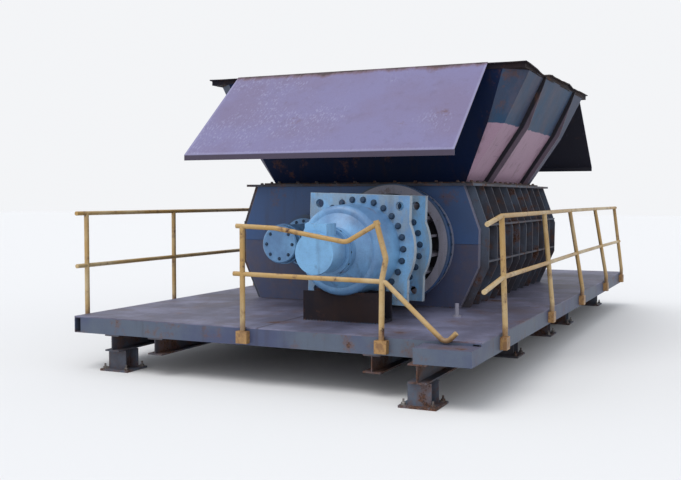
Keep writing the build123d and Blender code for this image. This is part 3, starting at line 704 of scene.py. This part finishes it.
class SHREDDER_OT_platform(Operator):
    """Paints and rusts the platform's deck, beams and feet"""

    bl_idname = "shredder.platform"
    bl_label = "Platform finish"

    def execute(self, context):
        f = context.scene.shredder_finishes
        deck = weathered(f, "deck_plate", f.deck, f.deck_pale, 0.22, 2.2, 0.1, 0.6, deck_zones(f), scuffs=0.3)
        edge = weathered(f, "deck_edge", f.deck_edge, f.wall_low, 0.28, 3.5, 0.35, 0.55, edge_zones(f))
        beams = weathered(f, "underframe", f.sides, f.deck_edge, 0.6, 3.0, 0.5, 0.7)
        dress(["deck_plates"], deck)
        dress(["edge_channels", "landings"], edge)
        dress(["main_beams", "cross_beams", "feet"], beams)
        return {"FINISHED"}


class SHREDDER_OT_box(Operator):
    """Paints and rusts the cutting box with its end walls, ribs and cover plates"""

    bl_idname = "shredder.box"
    bl_label = "Cutting box finish"

    def execute(self, context):
        f = context.scene.shredder_finishes
        walls = weathered(f, "end_wall", f.wall, f.wall_worn, 0.25, 2.5, 0.35, 0.5, wall_zones(f))
        sides = weathered(f, "side_wall", f.sides, f.deck_edge, 0.42, 5.0, 0.5, 0.65, shine=0.3)
        dress(["end_wall_front", "end_wall_rear"], walls)
        dress(["side_wall_right", "side_wall_left", "box_cover_plates"], sides)
        return {"FINISHED"}


class SHREDDER_OT_rotors(Operator):
    """Gives the cutters, spacers, shafts and combs their worn steel"""

    bl_idname = "shredder.rotors"
    bl_label = "Rotor finish"

    def execute(self, context):
        f = context.scene.shredder_finishes
        cutters = worn_steel(f, "cutter_steel", f.steel, f.steel_bright, 0.55)
        spacers = worn_steel(f, "spacer_steel", f.steel, f.steel, 0.75)
        shafts = worn_steel(f, "shaft_steel", f.steel_bright, f.steel, 0.2)
        for side in ("right", "left"):
            dress([f"rotor_{side}_cutters"], cutters)
            dress([f"rotor_{side}_spacers", f"comb_{side}"], spacers)
            dress([f"rotor_{side}_shaft"], shafts)
        return {"FINISHED"}


class SHREDDER_OT_drives(Operator):
    """Gives the gearboxes, flanges and motors their chalked enamel, with painted shade underneath and a
    painted highlight on the flanges' edges, the saddles a near-black painted shade, and the rings their pale
    faces
    """

    bl_idname = "shredder.drives"
    bl_label = "Drive finish"

    def execute(self, context):
        f = context.scene.shredder_finishes
        enamel = weathered(
            f, "drive_enamel", f.enamel, f.enamel_dull_and_shade, 0.12, 4.0, 0.25, 0.38, enamel_zones(f), scuffs=0.25
        )
        # The saddles are painted near-black as shade beneath the drums.
        saddle = weathered(f, "saddle_primer", f.hopper_grime_and_shade, f.rust_dark, 0.25, 4.0, 0.4, 0.7, shine=0.15)
        bearing = weathered(f, "bearing_paint", f.wall, f.ring, 0.35, 4.0, 0.3, 0.55)
        for end in ("front", "rear"):
            ring = weathered(
                f, f"ring_paint_{end}", f.ring, f.wall, 0.2, 5.0, 0.3, 0.5, ring_zones(f), rear=end == "rear"
            )
            flange = weathered(
                f, f"flange_enamel_{end}", f.enamel, f.enamel_dull_and_shade, 0.15, 4.0, 0.25, 0.42,
                flange_zones(f), rear=end == "rear", scuffs=0.25,
            )
            dress([f"drive_ring_{end}"], ring)
            dress([f"drive_flanges_{end}"], flange)
            names = ("gearbox", "motor", "tail")
            dress([f"{name}_{end}" for name in names], enamel)
            dress([f"saddle_{end}"], saddle)
            dress([f"bearings_{end}"], bearing)
        return {"FINISHED"}


class SHREDDER_OT_hopper(Operator):
    """Paints the hopper's walls and the two sloping roofs"""

    bl_idname = "shredder.hopper"
    bl_label = "Hopper finish"

    def execute(self, context):
        f = context.scene.shredder_finishes
        walls = weathered(
            f, "hopper_paint", f.hopper, f.hopper_worn, 0.1, 3.0, 0.4, 0.6,
            hopper_zones(f), scuffs=0.25, shine=0.25,
        )
        # The end walls' dark blue paint is darkened further as painted shade from the roofs.
        ends = weathered(
            f, "hopper_ends", f.hopper_ends_paint_and_shade, f.hopper_stain, 0.15, 3.0, 0.4, 0.6,
            hopper_end_zones(f), scuffs=0.2, shine=0.1,
        )
        for end, half_width in ROOF_HALF_WIDTHS.items():
            roof = weathered(
                f, f"roof_primer_{end}", f.roof, f.roof_worn, 0.06, 2.0, 0.12, 0.5,
                roof_zones(f, half_width), rear=end == "rear", scuffs=0.15, shine=0.25,
            )
            dress([f"roof_{end}"], roof)
        feet = weathered(f, "hopper_feet", f.hopper_grime_and_shade, f.sides, 0.6, 5.0, 0.5, 0.7)
        dress(["hopper_wall_right", "hopper_wall_left"], walls)
        dress(["hopper_wall_front", "hopper_wall_rear"], ends)
        dress(["hopper_feet"], feet)
        return {"FINISHED"}


class SHREDDER_OT_rails(Operator):
    """Gives the handrails their worn yellow paint"""

    bl_idname = "shredder.rails"
    bl_label = "Handrail finish"

    def execute(self, context):
        f = context.scene.shredder_finishes
        yellow = weathered(f, "rail_yellow", f.rail, f.rail_pale, 0.3, 9.0, 0.2, 0.45, rail_zones(f))
        dress(["rail_front", "rail_rear", "rail_right", "rail_left"], yellow)
        return {"FINISHED"}


class SHREDDER_OT_rim(Operator):
    """Replaces the hopper's straight rim with its battered angle, wavy and thin"""

    bl_idname = "shredder.rim"
    bl_label = "Battered rim"

    def execute(self, context):
        f = context.scene.shredder_finishes
        s = context.scene.shredder_sizes
        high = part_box("hopper_rim")[1]
        half_x = high.x - RIM_INSET
        half_y = high.y - RIM_INSET
        bm = bmesh.new()
        corners = [(-1, -1), (1, -1), (1, 1), (-1, 1)]
        plate = s.rim_plate
        shelf = RIM_HEIGHT - plate
        section = (
            (-plate, -0.01), (0, -0.01), (0, shelf), (RIM_INSET, shelf), (RIM_INSET, RIM_HEIGHT),
            (-plate, RIM_HEIGHT),
        )
        rng = random.Random(7)
        waves = [(rng.uniform(2.0, 5.5), rng.uniform(0, math.tau), rng.uniform(0.3, 1.0)) for _ in range(6)]

        def stray(t):
            return sum(size * math.sin(rate * t + start) for rate, start, size in waves) / 3.2

        rings = []
        for i, (cx, cy) in enumerate(corners):
            nx, ny = corners[(i + 1) % 4]
            side = Vector((0, cy, 0)) if ny == cy else Vector((cx, 0, 0))
            for k in range(RIM_STEPS):
                share = k / RIM_STEPS
                x = (cx + (nx - cx) * share) * half_x
                y = (cy + (ny - cy) * share) * half_y
                ends = math.sin(math.pi * share) ** 0.6
                wander = stray(i * 5.0 + share * 9.0) * s.rim_wave * (0.35 + 0.65 * ends)
                lift = stray(i * 3.0 + share * 13.0 + 40) * s.rim_wave * 0.35
                if i == 1:
                    wander *= 0.4
                    lift = lift * 0.3 + between(RIM_DENTS, share)
                lift += rng.uniform(-0.004, 0.004)
                outward = side if k else Vector((cx, cy, 0)).normalized()
                base = Vector((x, y, RIM_LOW)) + outward * wander
                profile = []
                for out, up in section:
                    drift = lift * (1 if up > 0 else 0.2)
                    profile.append(bm.verts.new(base + outward * out + Vector((0, 0, up + drift))))
                rings.append([bm.edges.new((a, b)) for a, b in zip(profile, profile[1:] + profile[:1])])
        for a, b in zip(rings, rings[1:] + rings[:1]):
            bmesh.ops.bridge_loops(bm, edges=a + b)
        for cx, cy in corners:
            x = cx * half_x
            y = cy * half_y
            gusset = [(x, y), (x - cx * RIM_GUSSET, y), (x, y - cy * RIM_GUSSET)]
            prism(bm, gusset, RIM_LOW - 0.010, RIM_LOW + 0.002)
        stained = weathered(
            f, "rim_stain", f.hopper_grime_and_shade, f.rust_dark, 0.2, 6.0, 0.3, 0.7, scuffs=0.2, shine=0.1
        )
        piece = place("battered_rim", bm, stained, "hopper_paint")
        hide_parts("hopper_rim")
        return {"FINISHED"}


class SHREDDER_OT_drive_bolts(Operator):
    """Bolts round the gearboxes, flanges, adapter rings, covers and tails"""

    bl_idname = "shredder.drive_bolts"
    bl_label = "Drive bolts"

    def execute(self, context):
        f = context.scene.shredder_finishes
        s = context.scene.shredder_sizes
        dark = weathered(f, "bolt_steel", f.bolt, f.bolt, 0.15, 20.0, 0.2, 0.5)
        bm = bmesh.new()
        bolt_circle(bm, ROTOR_X, FLANGE_ONE_Y, s.gear_bolts, s.gear_bolt_circle, s.gear_bolt)
        bolt_circle(
            bm, ROTOR_X, FLANGE_TWO_Y, s.flange_bolts, s.flange_bolt_circle, s.gear_bolt, FLANGE_BOLT_START
        )
        bolt_circle(bm, ROTOR_X, RING_FOOT_Y, s.ring_bolts, s.ring_bolt_circle, s.cover_bolt)
        bolt_circle(bm, ROTOR_X, GEARBOX_END_Y, *GEARBOX_COVER_BOLTS, s.cover_bolt)
        bolt_circle(bm, -ROTOR_X, TAIL_FLANGE_Y, *TAIL_FLANGE_BOLTS, s.cover_bolt)
        bolt_circle(bm, -ROTOR_X, TAIL_END_Y, *TAIL_COVER_BOLTS, s.cover_bolt)
        half_turn_copy(bm)
        place("drive_bolts", bm, dark, "ring_steel")
        return {"FINISHED"}


class SHREDDER_OT_drive_fittings(Operator):
    """Oil plugs round the gearboxes' drums and lifting stubs between their flanges"""

    bl_idname = "shredder.drive_fittings"
    bl_label = "Drive fittings"

    def execute(self, context):
        f = context.scene.shredder_finishes
        enamel = weathered(f, "fitting_enamel", f.enamel, f.enamel_dull_and_shade, 0.25, 12.0, 0.3, 0.4)
        bm = bmesh.new()
        for angle, y in PLUGS:
            turn = math.radians(angle)
            out = Vector((math.cos(turn), 0, math.sin(turn)))
            seat = Vector((ROTOR_X, -y, ROTOR_Z)) + out * DRUM_FRONT_RADIUS
            rod(bm, seat, seat + out * 0.045, 0.034, 20)
            hex_bolt(bm, seat + out * 0.044, out, 0.036, washer=False)
        for x in (ROTOR_X - STUB_OFFSET, ROTOR_X + STUB_OFFSET):
            seat = Vector((x, -STUB_Y, ROTOR_Z + STUB_SEAT))
            rod(bm, seat, seat + Vector((0, 0, 0.055)), 0.03)
        half_turn_copy(bm)
        place("drive_plugs", bm, enamel, "drive_paint")
        return {"FINISHED"}


class SHREDDER_OT_box_bolts(Operator):
    """Bolts along the cover plates and the hopper's foot"""

    bl_idname = "shredder.box_bolts"
    bl_label = "Box bolts"

    def execute(self, context):
        f = context.scene.shredder_finishes
        s = context.scene.shredder_sizes
        dark = weathered(f, "plate_bolts", f.sides, f.rust, 0.5, 20.0, 0.2, 0.6)
        along_x = (PLATE_BOLT_PITCH, 0, 0)
        along_y = (0, PLATE_BOLT_PITCH, 0)
        foot_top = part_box("hopper_feet")[1].z
        cover_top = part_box("box_cover_plates")[1].z
        bm = bmesh.new()
        bolt_row(bm, (*HOPPER_SIDE_BOLTS, foot_top), along_y, 13, s.plate_bolt)
        bolt_row(bm, (*HOPPER_END_BOLTS, foot_top), along_x, 10, s.plate_bolt)
        bolt_row(bm, (*COVER_PLATE_BOLTS, cover_top), along_x, 11, s.plate_bolt)
        half_turn_copy(bm)
        place("plate_bolts", bm, dark, "box_paint")
        return {"FINISHED"}


class SHREDDER_OT_welds(Operator):
    """Weld beads on the deck along the feet of the end walls and the saddles"""

    bl_idname = "shredder.welds"
    bl_label = "Weld beads"

    def execute(self, context):
        f = context.scene.shredder_finishes
        s = context.scene.shredder_sizes
        bead = weathered(f, "weld_beads", f.sides, f.hopper, 0.5, 20.0, 0.2, 0.6)
        bm = bmesh.new()
        runs = ((-WALL_FOOT_X, WALL_FOOT_X, WALL_Y), (ROTOR_X - SADDLE_HALF, ROTOR_X + SADDLE_HALF, SADDLE_Y))
        for left, right, y in runs:
            count = int((right - left) / BEAD_PITCH)
            for i in range(count):
                at = Vector((left + (right - left) * (i + 0.5) / count, -y, DECK_TOP))
                bmesh.ops.create_icosphere(
                    bm, subdivisions=1, radius=s.weld_bead * 1.6, matrix=Matrix.Translation(at)
                )
        half_turn_copy(bm)
        place("weld_beads", bm, bead, "box_paint", smooth=True)
        return {"FINISHED"}


class SHREDDER_OT_anchor_nuts(Operator):
    """Anchor bolts and nuts on every foot plate"""

    bl_idname = "shredder.anchor_nuts"
    bl_label = "Anchor nuts"

    def execute(self, context):
        f = context.scene.shredder_finishes
        s = context.scene.shredder_sizes
        steel = worn_steel(f, "anchor_steel", f.steel, f.steel_bright, 0.6)
        bm = bmesh.new()
        for x, y in FOOT_CENTRES:
            for dx in (-ANCHOR_REACH, ANCHOR_REACH):
                for dy in (-ANCHOR_REACH, ANCHOR_REACH):
                    seat = Vector((x + dx, y + dy, FOOT_PLATE_TOP))
                    hex_bolt(bm, seat, Vector((0, 0, 1)), s.anchor_nut, dx + dy)
                    rod(bm, seat, seat + Vector((0, 0, 0.05)), 0.0095, 8)
        half_turn_copy(bm)
        place("anchor_nuts", bm, steel, "shaft_steel")
        return {"FINISHED"}


class SHREDDER_OT_deck_pins(Operator):
    """The pale upright pin on each walkway"""

    bl_idname = "shredder.deck_pins"
    bl_label = "Deck pins"

    def execute(self, context):
        f = context.scene.shredder_finishes
        s = context.scene.shredder_sizes
        pale = weathered(f, "pin_paint", f.roof_pale, f.ring_face, 0.2, 20.0, 0.2, 0.5)
        bm = bmesh.new()
        foot = Vector((*PIN_PLACE, DECK_TOP))
        rod(bm, foot, foot + Vector((0, 0, s.pin_height)), 0.020, 20)
        rod(bm, foot, foot + Vector((0, 0, 0.015)), 0.042, 24)
        half_turn_copy(bm)
        place("deck_pins", bm, pale, "roof_primer")
        return {"FINISHED"}


def studio_floor(scene, colour):
    """A wide matt floor that takes the shadow."""
    bm = bmesh.new()
    bmesh.ops.create_grid(bm, x_segments=1, y_segments=1, size=FLOOR_HALF)
    mesh = bpy.data.meshes.new("studio_floor")
    bm.to_mesh(mesh)
    bm.free()
    floor = bpy.data.objects.new("studio_floor", mesh)
    scene.collection.objects.link(floor)
    material = bpy.data.materials.new("studio_floor")
    material.use_nodes = True
    shader = material.node_tree.nodes["Principled BSDF"]
    shader.inputs["Base Color"].default_value = (*colour, 1)
    shader.inputs["Roughness"].default_value = 0.9
    mesh.materials.append(material)


def studio_sky(scene):
    """A pale sky as the camera and reflections see it, and a bluer, dimmer one that lights the machine."""
    world = bpy.data.worlds.new("studio")
    scene.world = world
    world.use_nodes = True
    nodes = world.node_tree.nodes
    link = world.node_tree.links.new
    nodes.clear()
    seen = nodes.new("ShaderNodeBackground")
    seen.inputs["Color"].default_value = SEEN_SKY
    lit = nodes.new("ShaderNodeBackground")
    lit.inputs["Color"].default_value = LIT_SKY
    lit.inputs["Strength"].default_value = LIT_SKY_STRENGTH
    path = nodes.new("ShaderNodeLightPath")
    through = nodes.new("ShaderNodeMath")
    direct = nodes.new("ShaderNodeMath")
    through.operation = direct.operation = "MAXIMUM"
    link(path.outputs["Is Glossy Ray"], through.inputs[0])
    link(path.outputs["Is Transmission Ray"], through.inputs[1])
    link(path.outputs["Is Camera Ray"], direct.inputs[0])
    link(through.outputs[0], direct.inputs[1])
    choice = nodes.new("ShaderNodeMixShader")
    link(direct.outputs[0], choice.inputs["Fac"])
    link(lit.outputs[0], choice.inputs[1])
    link(seen.outputs[0], choice.inputs[2])
    out = nodes.new("ShaderNodeOutputWorld")
    link(choice.outputs[0], out.inputs["Surface"])


def studio_suns(scene):
    """Two broad, weak suns, one high and one from the front."""
    for name, direction, strength, angle in SUNS:
        data = bpy.data.lights.new(name, "SUN")
        data.energy = strength
        data.angle = math.radians(angle)
        lamp = bpy.data.objects.new(name, data)
        lamp.rotation_euler = Vector(direction).to_track_quat("-Z", "Y").to_euler()
        scene.collection.objects.link(lamp)


def photo_camera(scene):
    """The camera at the photograph's place, turned so that the whole machine shows."""
    data = bpy.data.cameras.new("camera")
    data.sensor_width = 36
    data.lens = CAMERA_LENS
    camera = bpy.data.objects.new("camera", data)
    camera.location = CAMERA_PLACE
    yaw = math.radians(CAMERA_YAW)
    pitch = math.radians(CAMERA_PITCH)
    look = Vector((math.cos(yaw) * math.cos(pitch), math.sin(yaw) * math.cos(pitch), math.sin(pitch)))
    camera.rotation_euler = look.to_track_quat("-Z", "Y").to_euler()
    scene.collection.objects.link(camera)
    scene.camera = camera


class SHREDDER_OT_stage(Operator):
    """A plain pale floor, soft studio light and the camera at the photograph's viewing angle"""

    bl_idname = "shredder.stage"
    bl_label = "Stage"

    def execute(self, context):
        scene = context.scene
        studio_floor(scene, scene.shredder_finishes.floor)
        studio_sky(scene)
        studio_suns(scene)
        photo_camera(scene)
        scene.view_settings.view_transform = "Standard"
        return {"FINISHED"}


OPERATORS = (
    SHREDDER_OT_platform,
    SHREDDER_OT_box,
    SHREDDER_OT_rotors,
    SHREDDER_OT_drives,
    SHREDDER_OT_hopper,
    SHREDDER_OT_rails,
    SHREDDER_OT_rim,
    SHREDDER_OT_drive_bolts,
    SHREDDER_OT_drive_fittings,
    SHREDDER_OT_box_bolts,
    SHREDDER_OT_welds,
    SHREDDER_OT_anchor_nuts,
    SHREDDER_OT_deck_pins,
    SHREDDER_OT_stage,
)


class SHREDDER_PT_panel(Panel):
    """Lists the shredder's finishes and fittings"""

    bl_label = "Double shaft shredder"
    bl_idname = "SHREDDER_PT_panel"
    bl_space_type = "VIEW_3D"
    bl_region_type = "UI"
    bl_category = "Shredder"

    def draw(self, context):
        layout = self.layout
        for group in (context.scene.shredder_finishes, context.scene.shredder_sizes):
            column = layout.column(align=True)
            for name in group.__annotations__:
                column.prop(group, name)
        for operator in OPERATORS:
            layout.operator(operator.bl_idname)


CLASSES = (ShredderFinishes, ShredderSizes, *OPERATORS, SHREDDER_PT_panel)


def register():
    for item in CLASSES:
        bpy.utils.register_class(item)
    bpy.types.Scene.shredder_finishes = PointerProperty(type=ShredderFinishes)
    bpy.types.Scene.shredder_sizes = PointerProperty(type=ShredderSizes)


def unregister():
    del bpy.types.Scene.shredder_sizes
    del bpy.types.Scene.shredder_finishes
    for item in reversed(CLASSES):
        bpy.utils.unregister_class(item)


def main():
    register()
    for operator in OPERATORS:
        group, name = operator.bl_idname.split(".")
        getattr(getattr(bpy.ops, group), name)()


if __name__ == "__main__":
    main()
